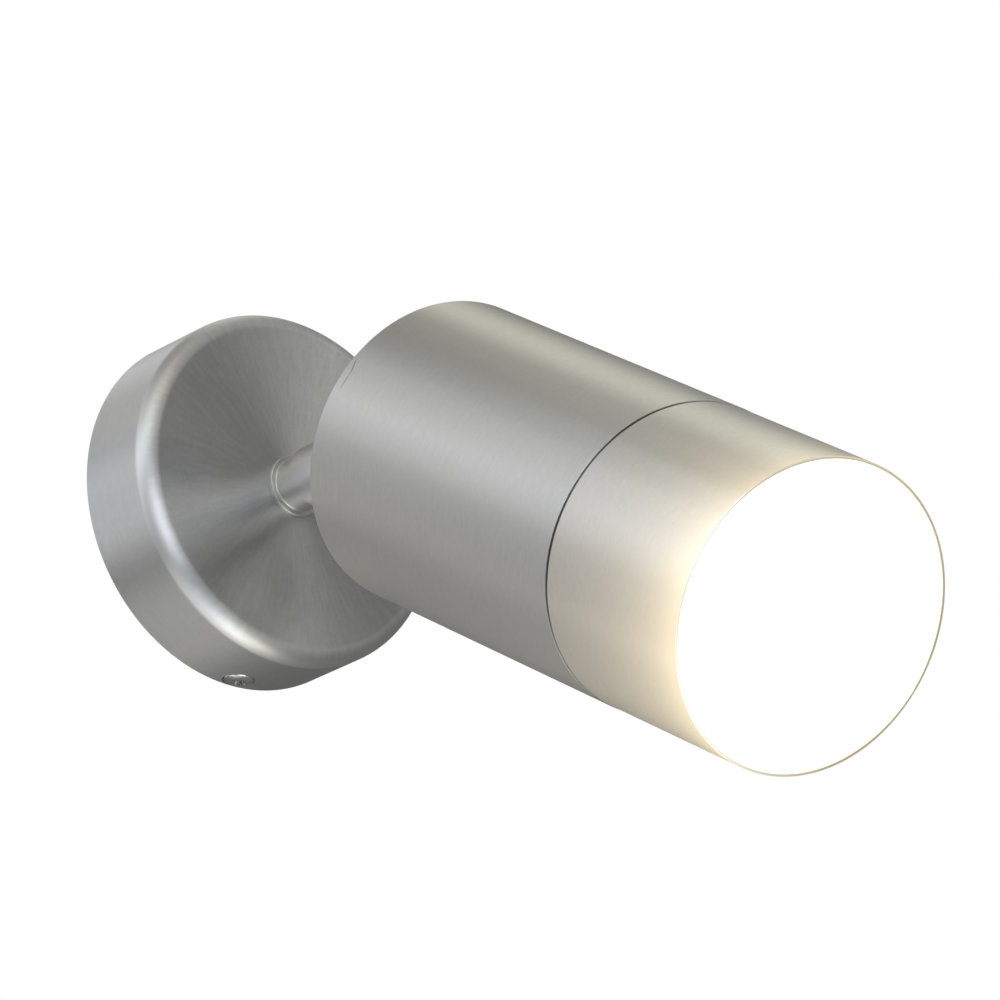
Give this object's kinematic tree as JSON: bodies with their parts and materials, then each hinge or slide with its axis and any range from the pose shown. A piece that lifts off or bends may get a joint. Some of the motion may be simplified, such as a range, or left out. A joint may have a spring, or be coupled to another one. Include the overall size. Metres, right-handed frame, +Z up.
{
  "type": "tube wall spotlight",
  "caption": "Brushed steel wall spotlight: a round canopy, a short stem with a friction knuckle and a tube head with a frosted front glass.",
  "frame": {"origin": "centre of the wall fixing slots on the wall plane, on the canopy's axis", "axes": "+Y into the wall along the canopy's axis, so the light stands out along -Y; +Z up; +X sideways along the line of the fixing slots"},
  "size_m": [0.0724, 0.1854, 0.1324],
  "materials": {
    "brushed_stainless": "brushed round the axis, satin",
    "steel_screws": "bright machined",
    "zinc_plated_steel": "zinc plated, dull",
    "spring_steel": "blackened",
    "brass": "machined",
    "black_rubber": "matt",
    "white_silicone": "soft",
    "terminal_plastic": "moulded",
    "red_fibre": "pressed fibre",
    "lead_sleeving": "woven heat sleeving",
    "earth_sleeving": "smooth insulation",
    "ceramic": "unglazed",
    "lamp_shell": "smooth",
    "lamp_board": "white lacquer",
    "lamp_diffuser": "opal",
    "frosted_glass": "frosted"
  },
  "bodies": {
    "root": {"canopy": "brushed_stainless", "stop_pin": "brushed_stainless", "canopy_screws": "steel_screws", "wall_plate": "zinc_plated_steel", "cable_grommet": "black_rubber", "terminal_block": "terminal_plastic", "terminal_sleeves": "brass", "terminal_screws": "steel_screws", "terminal_fixing_screw": "steel_screws", "earth_screw": "brass", "earth_tag": "zinc_plated_steel", "earth_link": "earth_sleeving", "canopy_leads": "lead_sleeving"},
    "stem": {"stem": "brushed_stainless", "stem_fibre_washer": "red_fibre", "stop_washer": "zinc_plated_steel", "disc_spring": "spring_steel", "stem_nut": "brass", "knuckle_fork": "brushed_stainless", "knuckle_leads": "lead_sleeving"},
    "head": {"knuckle_tongue": "brushed_stainless", "knuckle_washers": "red_fibre", "pivot_screws": "steel_screws", "rear_cap": "brushed_stainless", "tongue_washer": "zinc_plated_steel", "tongue_nut": "brass", "tube_body": "brushed_stainless", "holder_bracket": "zinc_plated_steel", "bracket_screws": "steel_screws", "head_earth_tag": "zinc_plated_steel", "lampholder": "ceramic", "holder_screws": "steel_screws", "holder_contacts": "brass", "head_leads": "lead_sleeving"},
    "lamp": {"lamp_base": "ceramic", "lamp_pins": "zinc_plated_steel", "lamp_body": "lamp_shell", "lamp_board": "lamp_board", "lamp_lens": "lamp_diffuser"},
    "seal": {"seam_gasket": "black_rubber"},
    "ring": {"front_ring": "brushed_stainless", "glass_gasket": "white_silicone", "front_glass": "frosted_glass"}
  },
  "joints": [
    {"name": "swivel", "type": "hinge", "parent": "root", "child": "stem", "pos_m": [0, 0, 0], "axis": [0, -1, 0], "range_deg": [-162, 162], "deforming": ["canopy_leads"]},
    {"name": "tilt", "type": "hinge", "parent": "stem", "child": "head", "pos_m": [0, -0.0544, 0], "axis": [1, 0, 0], "range_deg": [-121.3, 58.7], "deforming": ["knuckle_leads"]},
    {"name": "ring_turn", "type": "hinge", "parent": "head", "child": "seal", "pos_m": [0, -0.0544, 0], "axis": [0, -0.8545, -0.5195], "range_deg": [0, 1260]},
    {"name": "ring_advance", "type": "slide", "parent": "seal", "child": "ring", "axis": [0, -0.8545, -0.5195], "range_m": [0, 0.007]},
    {"name": "lamp_twist", "type": "hinge", "parent": "head", "child": "lamp", "pos_m": [0, -0.0544, 0], "axis": [0, -0.8545, -0.5195], "range_deg": [0, 40]}
  ],
  "couplings": [
    {"joint": "ring_advance", "follows": "ring_turn", "m_per_rad": 0.000318}
  ]
}
